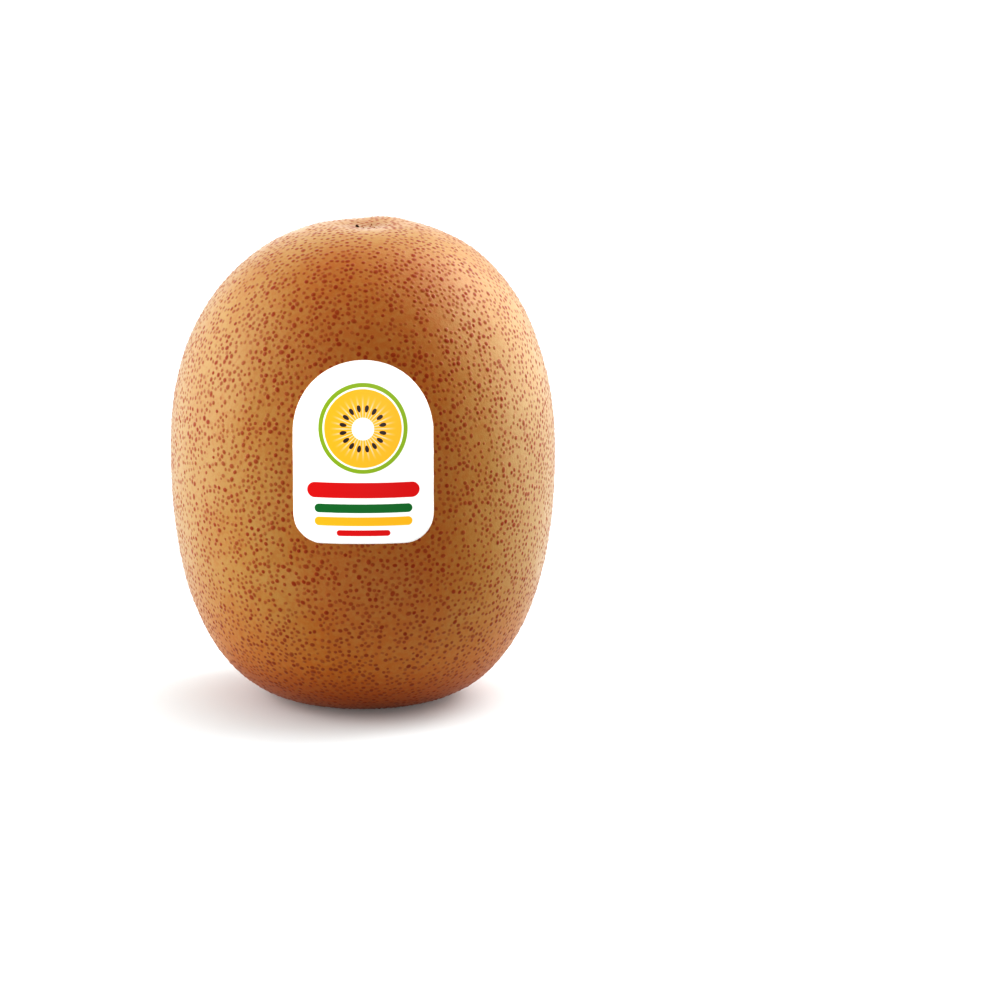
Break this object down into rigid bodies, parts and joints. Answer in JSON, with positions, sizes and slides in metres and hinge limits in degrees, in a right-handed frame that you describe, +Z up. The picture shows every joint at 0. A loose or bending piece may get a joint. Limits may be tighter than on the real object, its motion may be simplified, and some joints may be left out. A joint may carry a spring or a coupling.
{
  "type": "golden kiwi fruit",
  "caption": "Whole golden kiwi fruit with smooth tan skin and a small plain sticker, standing on its flat stem end.",
  "frame": {"origin": "middle of the small flat spot on the stem end, on the surface that the fruit stands on", "axes": "+Z up along the fruit's length to the blossom end, -Y towards the sticker, X across the wider side of the oval section"},
  "size_m": [0.0532, 0.0509, 0.0666],
  "materials": {
    "skin": "satin",
    "label_paper": "satin"
  },
  "bodies": {
    "root": {"fruit": "skin", "label": "label_paper"}
  },
  "joints": []
}
